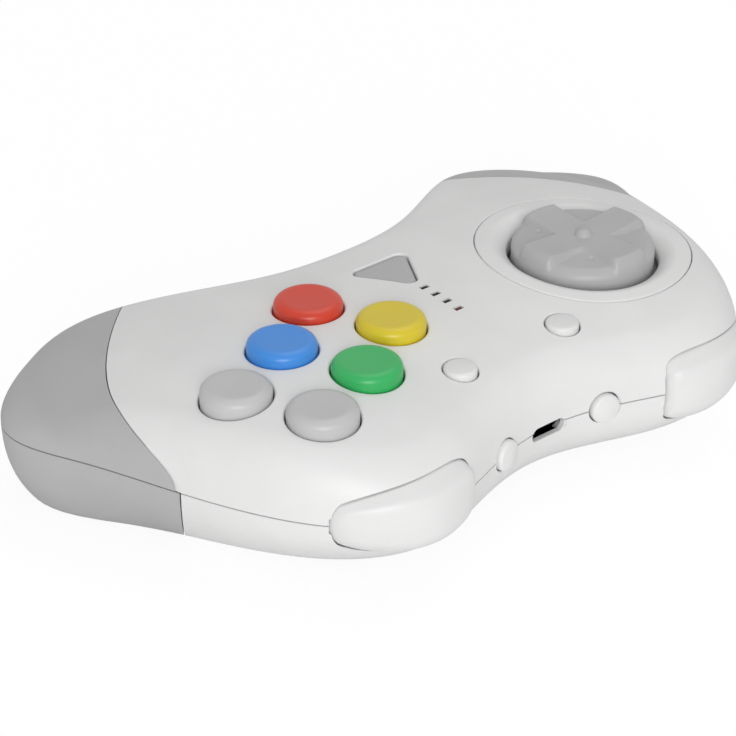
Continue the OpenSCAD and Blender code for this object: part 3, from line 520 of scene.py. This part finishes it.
WHITE = material("white_moulding", (0.79, 0.79, 0.785), 0.42, grain=0.015)
GREY_GRIP = material("grip_moulding", (0.46, 0.46, 0.46), 0.5, grain=0.03)
GREY_PAD = material("pad_moulding", (0.46, 0.46, 0.46), 0.42)
GREY_KEY = material("pale_key", (0.55, 0.55, 0.55), 0.36)
RED = material("red_key", (0.66, 0.048, 0.02), 0.34)
BLUE = material("blue_key", (0.05, 0.27, 0.75), 0.34)
YELLOW = material("yellow_key", (0.71, 0.56, 0.022), 0.34)
GREEN = material("green_key", (0.032, 0.455, 0.118), 0.34)
BLACK = material("black_moulding", (0.015, 0.015, 0.016), 0.4)
RUBBER = material("key_rubber", (0.6, 0.6, 0.58), 0.7)
STEEL = material("plain_steel", (0.55, 0.55, 0.56), 0.32, metal=1.0)
SOCKET = material("dark_socket", (0.05, 0.05, 0.052), 0.35, metal=1.0)
BOARD = material("board_lacquer", (0.02, 0.17, 0.075), 0.35, mottle=0.12)
LAMP = material("lamp_body", (0.75, 0.73, 0.66), 0.5)
WRAP = material("battery_film", (0.32, 0.38, 0.45), 0.35)
WIRE = material("lead_cover", (0.5, 0.03, 0.03), 0.45)
LENS = material("smoked_lens", (0.006, 0.006, 0.006), 0.4, spec=0.25)
LIT = material("lit_lens", (0.12, 0.012, 0.008), 0.4, spec=0.25)

# Shells and grip ends
top_base, bottom_base = half_shell(1), half_shell(-1)


def add(name, mesh, mat, body, nodes, base=None):
    if base is not None:
        skin_normals(mesh, base)
    else:
        smooth(mesh)
    finish_mesh(mesh, mat)
    obj = link(name, mesh)
    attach(obj, body)
    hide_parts(*nodes)


top_zones = [grip_zone(s, TOP_SEAM, 0.0) for s in (-1, 1)]
base_zones = [grip_zone(s, BASE_SEAM, 0.0) for s in (-1, 1)]
top_mesh = carve(top_base, [("DIFFERENCE", tool(face_cutters())), ("DIFFERENCE", tool(edge_cutters())),
                            ("DIFFERENCE", tool(top_zones))])
add("top_case", top_mesh, WHITE, "casing", ["top_shell"], top_base)
bottom_mesh = carve(bottom_base, [("DIFFERENCE", tool(edge_cutters())), ("DIFFERENCE", tool(screw_cutters())),
                                  ("DIFFERENCE", tool(base_zones))])
add("bottom_case", bottom_mesh, WHITE, "casing", ["bottom_shell"], bottom_base)
for s, hand in ((1, "right"), (-1, "left")):
    mesh = carve(top_base, [("INTERSECT", tool([grip_zone(s, TOP_SEAM, SEAM_GAP)]))])
    add(hand + "_grip_cap", mesh, GREY_GRIP, "casing", [hand + "_grip_top"], top_base)
    zone = tool([grip_zone(s, BASE_SEAM, SEAM_GAP)])
    mesh = carve(bottom_base, [("DIFFERENCE", tool(screw_cutters())), ("INTERSECT", zone)])
    add(hand + "_grip_base", mesh, GREY_GRIP, "casing", [hand + "_grip_bottom"], bottom_base)


# Round keys: a profile of radius and height turned about its own axis, over a post and a flange inside
POST_R, POST_Z, FLANGE_Z, LEDGE_Z = 0.8, 22.6, 23.8, 25.0
BUTTON_FLANGE_R, BUTTON_UP, SMALL_FLANGE_R, SMALL_UP = 7.8, 2.3, 4.35, 0.75
SHOULDER_UP, SHOULDER_DOME = 1.1, 0.35
SHOULDER_STEM = [(0.9, -5.3), (1.8, -5.3), (1.8, -4.1), (4.0, -4.1), (4.0, -3.2),
                 (SHOULDER_R, -3.15), (SHOULDER_R, -1.5)]


def lathe(profile, n=96):
    a = np.linspace(0, 2 * math.pi, n, endpoint=False)
    rows = [[(r * math.cos(t), r * math.sin(t), z) for t in a] for r, z in profile]
    return loft(rows)


def fillet(r, z, wide, tall, steps=9):
    """Quarter round from the side of a cap to its top"""
    turns = np.linspace(0, math.pi / 2, steps)
    return [(r - wide * (1 - math.cos(t)), z - tall * (1 - math.sin(t))) for t in turns]


def cap(r, flange_r, top, wide, tall, dome):
    """Cap with a flange below and a faintly domed or hollow top"""
    side = [(POST_R, POST_Z), (flange_r, FLANGE_Z), (flange_r, LEDGE_Z), (r, LEDGE_Z), (r, LEDGE_Z + 0.4)]
    edge = fillet(r, top, wide, tall)
    inner_r = edge[-1][0]
    crown_rows = [(inner_r * f, top + dome * (1 - f * f)) for f in (0.85, 0.65, 0.45, 0.25, 0.08)]
    return lathe(side + edge + crown_rows)


def moved(part, x, y, z=0.0):
    return [(p[0] + x, p[1] + y, p[2] + z) for p in part[0]], part[1]


KEY_MATS = {"red": (RED, "red_plastic"), "blue": (BLUE, "blue_plastic"), "yellow": (YELLOW, "yellow_plastic"),
            "green": (GREEN, "green_plastic"), "grey_lower": (GREY_KEY, "key_grey"),
            "grey_upper": (GREY_KEY, "key_grey")}
for key, (x, y) in BUTTONS.items():
    top = float(top_z(x, y)) + BUTTON_UP
    part = moved(cap(BUTTON_R, BUTTON_FLANGE_R, top, wide=1.9, tall=1.5, dome=-0.12), x, y)
    mat, slot = KEY_MATS[key]
    add("key_" + key, new_mesh("key", *part), mat, "key_" + key, ["button_" + key])
for hand, (x, y) in SMALL.items():
    top = float(top_z(x, y)) + SMALL_UP
    part = moved(cap(SMALL_R, SMALL_FLANGE_R, top, wide=0.7, tall=0.6, dome=0.15), x, y)
    add(hand + "_small_key", new_mesh("key", *part), WHITE, "key_%s_small" % hand,
        [hand + "_small_button"])
for s, hand in ((-1, "left"), (1, "right")):
    edge = fillet(SHOULDER_R, SHOULDER_UP, wide=0.8, tall=0.7)
    inner_r = edge[-1][0]
    dome = [(inner_r * f, SHOULDER_UP + SHOULDER_DOME * (1 - f * f)) for f in (0.8, 0.6, 0.4, 0.2, 0.05)]
    part = turned(lathe(SHOULDER_STEM + edge + dome, 72), shoulder_matrix(s))
    add(hand + "_shoulder_key", new_mesh("key", *part), WHITE, "key_%s_shoulder" % hand,
        [hand + "_shoulder_button"])


# Start key: a triangle with round corners that follows the surface, a little sunk
START_SUNK, START_EDGE, START_FLANGE, START_POST, START_SIDE_Z = 0.3, 0.5, 1.1, -1.2, 27.0


def start_key():
    rows = []
    foot = ((START_POST, POST_Z), (START_FLANGE, FLANGE_Z), (START_FLANGE, LEDGE_Z),
            (0.0, LEDGE_Z), (0.0, START_SIDE_Z))
    for grow, z in foot:
        rows.append([(x, y, z) for x, y in rounded(START, START_R + grow)])
    for t in np.linspace(0, math.pi / 2, 6):
        pts = rounded(START, START_R - START_EDGE * (1 - math.cos(t)))
        drop = START_SUNK + START_EDGE * (1 - math.sin(t))
        rows.append([(x, y, float(top_z(x, y)) - drop) for x, y in pts])
    mid = START.mean(0)
    for f in (0.75, 0.5, 0.25, 0.06):
        pts = mid + (rounded(START, START_R - START_EDGE) - mid) * f
        rows.append([(x, y, float(top_z(x, y)) - START_SUNK) for x, y in pts])
    return loft(rows)


add("start_key", new_mesh("start", *start_key()), GREY_PAD, "key_start", ["start_button"])


# Direction pad: dish ring, and the pad with its arms, notches, nub and dimples
DISH_Z, PAD_SURFACE = 26.692, float(top_z(*DPAD))
PAD_RIM, PAD_FOOT, PAD_FLANK = PAD_SURFACE + 2.4, PAD_SURFACE - 1.6, 2.0
DISH_HOLE, DISH_MOUTH, DISH_FUNNEL, DISH_EDGE = 15.2, 18.9, 2.4, 0.35


def dish_ring(n=192):
    a = np.linspace(0, 2 * math.pi, n, endpoint=False)
    rows = []

    def ring(r, drop=None, z=None):
        x, y = DPAD[0] + r * np.cos(a), DPAD[1] + r * np.sin(a)
        h = top_z(x, y) - drop if z is None else np.full(n, z)
        rows.append(list(zip(x, y, h)))

    ring(DISH_R, z=DISH_Z)
    ring(DISH_R, drop=0.6)
    for t in np.linspace(0, math.pi / 2, 6):
        ring(DISH_R - DISH_EDGE * (1 - math.cos(t)), drop=DISH_EDGE * (1 - math.sin(t)))
    for r in np.linspace(21.0, DISH_MOUTH, 6):
        ring(r, drop=0.0)
    for t in np.linspace(0.08, 1, 14):
        ring(DISH_MOUTH - t * (DISH_MOUTH - DISH_HOLE - 0.15), drop=DISH_FUNNEL * t ** 1.7)
    ring(DISH_HOLE, drop=DISH_FUNNEL + 0.4)
    ring(DISH_HOLE, z=DISH_Z + 0.3)
    ring(DISH_HOLE, z=DISH_Z)
    verts, faces = loft(rows, caps=False)
    m = len(rows)
    faces += [((m - 1) * n + i, (m - 1) * n + (i + 1) % n, (i + 1) % n, i) for i in range(n)]
    return verts, faces


add("dish_ring", new_mesh("dish", *dish_ring()), WHITE, "casing", ["dpad_dish"])


def soft_step(v, width):
    t = np.clip(v / width + 0.5, 0, 1)
    return t * t * (3 - 2 * t)


ARM_HALF, HOLLOW, NOTCH_STEP, NOTCH_SLOPE = 3.7, 1.0, 0.3, 0.0875
NUB_R, NUB_H, DIMPLE_AT, DIMPLE_DEPTH, DIMPLE_SPREAD = 1.7, 1.15, 9, 0.3, 0.18
DIMPLES = [(DIMPLE_AT * math.cos(q), DIMPLE_AT * math.sin(q)) for q in np.radians((56, 124, 236, 304))]
# Radius and height of the pad's underside and side, up to the foot of its round flank
PAD_SIDE = ((3.2, 22.9), (17.0, 23.6), (17.0, 24.8), (DPAD_R, 24.8), (DPAD_R, 28.0), (DPAD_R, PAD_FOOT))


def pad_height(x, y):
    """Height of the pad's top under its rim plane, from the pad's middle"""
    r = np.hypot(x, y)
    arms = -HOLLOW * (1 - (r / DPAD_R) ** 2)
    along = (np.abs(x) + np.abs(y)) / math.sqrt(2) - ARM_HALF * math.sqrt(2)
    floor = -HOLLOW - NOTCH_STEP - NOTCH_SLOPE * along
    inside = np.minimum(np.abs(x), np.abs(y)) - ARM_HALF
    share = soft_step(inside - 0.3, 0.9)
    h = arms * (1 - share) + np.minimum(arms, floor) * share
    h = h + NUB_H * np.sqrt(np.maximum(0, 1 - (r / NUB_R) ** 2))
    for dimple_x, dimple_y in DIMPLES:
        away = (x - dimple_x) ** 2 + (y - dimple_y) ** 2
        h = h - DIMPLE_DEPTH * np.exp(-away / DIMPLE_SPREAD)
    return h


def pad(n=360):
    a = np.linspace(0, 2 * math.pi, n, endpoint=False)
    c, s = np.cos(a), np.sin(a)
    rows = [[(r * math.cos(t), r * math.sin(t), z) for t in a] for r, z in PAD_SIDE]
    for t in np.linspace(0, math.pi / 2, 12)[1:]:
        r = DPAD_R - PAD_FLANK * (1 - math.cos(t))
        top = PAD_RIM + pad_height(r * c, r * s)
        rows.append(list(zip(r * c, r * s, top - (top - PAD_FOOT) * (1 - math.sin(t)))))
    for r in np.concatenate([np.linspace(DPAD_R - PAD_FLANK - 0.2, 2.0, 60), np.linspace(1.85, 0.05, 10)]):
        rows.append(list(zip(r * c, r * s, PAD_RIM + pad_height(r * c, r * s))))
    return loft(rows)


add("pad_disc", new_mesh("pad", *moved(pad(), *DPAD)), GREY_PAD, "dpad_pad", ["dpad"])


# Triggers: sections along the shoulder edge, softened and closed by round ends
def soften(loop, times=3, cut=0.2):
    pts = np.asarray(loop, float)
    for _ in range(times):
        nxt = np.roll(pts, -1, 0)
        pts = np.stack([pts * (1 - cut) + nxt * cut, pts * cut + nxt * (1 - cut)], 1).reshape(-1, 2)
    return pts


def trigger_section(x):
    edge = float(shoulder_y(x))
    up, down = float(trigger_height(x, T_UP)), float(trigger_height(x, T_DOWN))
    out = T_BULGE * float(trigger_end(x)[1])
    inset = float(turn_in(up / crown(x, edge), TOP_EDGE))
    crease = (edge + out - 0.4, BASE_H + min(T_CREASE, 0.8 * up))
    top = (edge - inset, BASE_H + up)
    near = (top[0] + 0.15 * (crease[0] - top[0]), top[1] + 0.15 * (crease[1] - top[1]))
    rear = [(edge - T_DEPTH, BASE_H - down), (edge - T_DEPTH, BASE_H + up), (top[0] - 0.6, top[1])]
    front = [(edge + out, BASE_H), (edge + out - 0.7, BASE_H - down * 0.6), (edge - 0.7, BASE_H - down)]
    return soften([*rear, top, near, crease, *front])


def trigger(side):
    """Sections from end to end; the last few draw in, so that the ends are round"""
    rows = []
    reach, draw = 0.8, 0.3
    for x in trigger_xs(73):
        near_end = min(x - T_IN, T_OUT - x)
        share = math.sqrt(max(0.0, 1 - max(0.0, 1 - near_end / reach) ** 2))
        sec = trigger_section(min(max(x, T_IN + 0.02), T_OUT - 0.02))
        mid = sec.mean(0)
        rows.append((x, mid + (sec - mid) * (1 - draw * (1 - share))))
    return loft([[(side * x, y, z) for y, z in sec] for x, sec in rows], flip=side > 0)


for s, hand in ((-1, "left"), (1, "right")):
    add(hand + "_trigger_lever", new_mesh("trigger", *trigger(s)), WHITE, "lever_" + hand,
        [hand + "_trigger"])


# Light windows: four bars on a bridge; the last one is lit
PIPE_LOW, LIT_FROM_Y, LIT_FROM_Z = 20.6, 11.6, 26.5


def lights():
    parts = []
    for x, y in LIGHTS:
        z = float(top_z(x, y))
        levels = ((0.9, 0.5, PIPE_LOW), (0.9, 0.5, z - 0.35), (0.84, 0.44, z - 0.25), (0.3, 0.15, z - 0.23))
        parts.append(loft([[(x + i * a, y + j * b, h) for i, j in CORNERS] for a, b, h in levels]))
    parts.append(box(-1.8, 1.8, 2.2, 14.0, 24.0, 25.5))
    return parts


light_mesh = new_mesh("lights", *join(lights()))
add("light_windows", light_mesh, LENS, "casing", ["light_pipe"])
light_mesh.materials.append(LIT)
for p in light_mesh.polygons:
    if p.center.y > LIT_FROM_Y * MM and p.center.z > LIT_FROM_Z * MM:
        p.material_index = 1

# Pieces kept from the frame
KEEP = {"dpad_ball": STEEL, "dpad_post": BLACK, "dpad_membrane": RUBBER, "face_membrane": RUBBER,
        "start_membrane": RUBBER, "small_membrane": RUBBER, "shoulder_switches": BLACK,
        "trigger_switches": BLACK, "trigger_pins": STEEL, "main_board": BOARD,
        "processor_chip": BLACK, "usb_socket": SOCKET,
        "status_lights": LAMP, "battery": WRAP, "battery_leads": WIRE, "battery_plug": LAMP,
        "board_screws": STEEL, "case_screws": STEEL}
for node, mat in KEEP.items():
    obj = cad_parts[node]
    for slot in obj.material_slots:
        slot.material = mat

# Camera at the photograph's place
AZ, EL, DIST, FOCAL = math.radians(139.66), math.radians(30.8), 492.94, 2604.11
TARGET = Vector((18.36, 8.05, 23.0))
SENSOR, PICTURE_W = 36, 736
back = Vector((math.sin(AZ) * math.cos(EL), -math.cos(AZ) * math.cos(EL), math.sin(EL)))
right = Vector((0, 0, 1)).cross(back).normalized()
up = back.cross(right)
cam = bpy.data.cameras.new("camera")
cam.sensor_fit, cam.sensor_width = "HORIZONTAL", SENSOR
cam.lens = FOCAL / PICTURE_W * SENSOR
cam.clip_start, cam.clip_end = 0.01, 20
cam_obj = bpy.data.objects.new("camera", cam)
scene.collection.objects.link(cam_obj)
spot = (TARGET + back * DIST) * MM
cam_obj.matrix_world = Matrix(((right.x, up.x, back.x, spot.x), (right.y, up.y, back.y, spot.y),
                               (right.z, up.z, back.z, spot.z), (0, 0, 0, 1)))
scene.camera = cam_obj

# Floor, backdrop and light
FLOOR_HALF, FLOOR_Z = 4000, -0.1
floor_mat = bpy.data.materials.new("floor")
floor_mat.use_nodes = True
nt = floor_mat.node_tree
nt.nodes["Principled BSDF"].inputs["Base Color"].default_value = (0.9, 0.9, 0.9, 1)
nt.nodes["Principled BSDF"].inputs["Roughness"].default_value = 0.9
glow = nt.nodes.new("ShaderNodeEmission")
glow.inputs["Strength"].default_value = 1.05
path = nt.nodes.new("ShaderNodeLightPath")
seen = nt.nodes.new("ShaderNodeMath")
seen.operation, seen.use_clamp = "MULTIPLY", True
seen.inputs[1].default_value = 0.85
mix = nt.nodes.new("ShaderNodeMixShader")
nt.links.new(path.outputs["Is Camera Ray"], seen.inputs[0])
nt.links.new(seen.outputs["Value"], mix.inputs["Fac"])
nt.links.new(nt.nodes["Principled BSDF"].outputs["BSDF"], mix.inputs[1])
nt.links.new(glow.outputs["Emission"], mix.inputs[2])
nt.links.new(mix.outputs["Shader"], nt.nodes["Material Output"].inputs["Surface"])
mesh = new_mesh("floor", [(FLOOR_HALF * i, FLOOR_HALF * j, FLOOR_Z) for i, j in CORNERS], [(0, 1, 2, 3)])
mesh.materials.append(floor_mat)
floor = link("floor", mesh)

world = bpy.data.worlds.new("studio")
world.use_nodes = True
scene.world = world
nt = world.node_tree
sky = nt.nodes["Background"]
sky.inputs["Color"].default_value = (1, 1, 1, 1)
sky.inputs["Strength"].default_value = 0.45
plain = nt.nodes.new("ShaderNodeBackground")
path = nt.nodes.new("ShaderNodeLightPath")
mix = nt.nodes.new("ShaderNodeMixShader")
seen = nt.nodes.new("ShaderNodeMath")
seen.operation = "MAXIMUM"
nt.links.new(path.outputs["Is Camera Ray"], seen.inputs[0])
nt.links.new(path.outputs["Is Glossy Ray"], seen.inputs[1])
nt.links.new(seen.outputs["Value"], mix.inputs["Fac"])
nt.links.new(sky.outputs["Background"], mix.inputs[1])
nt.links.new(plain.outputs["Background"], mix.inputs[2])
nt.links.new(mix.outputs["Shader"], nt.nodes["World Output"].inputs["Surface"])


def lamp(name, place, aim, size, power):
    data = bpy.data.lights.new(name, "AREA")
    data.shape, data.size, data.energy = "DISK", size, power
    obj = bpy.data.objects.new(name, data)
    scene.collection.objects.link(obj)
    obj.location = place
    obj.rotation_euler = (Vector(aim) - Vector(place)).to_track_quat("-Z", "Y").to_euler()


lamp("key", (0.95, 1.3, 0.6), (0, 0, 0), 1.0, 15)
lamp("top", (-0.6, -0.2, 1.6), (0, 0, 0), 1.4, 6)
scene.view_settings.view_transform = "Standard"
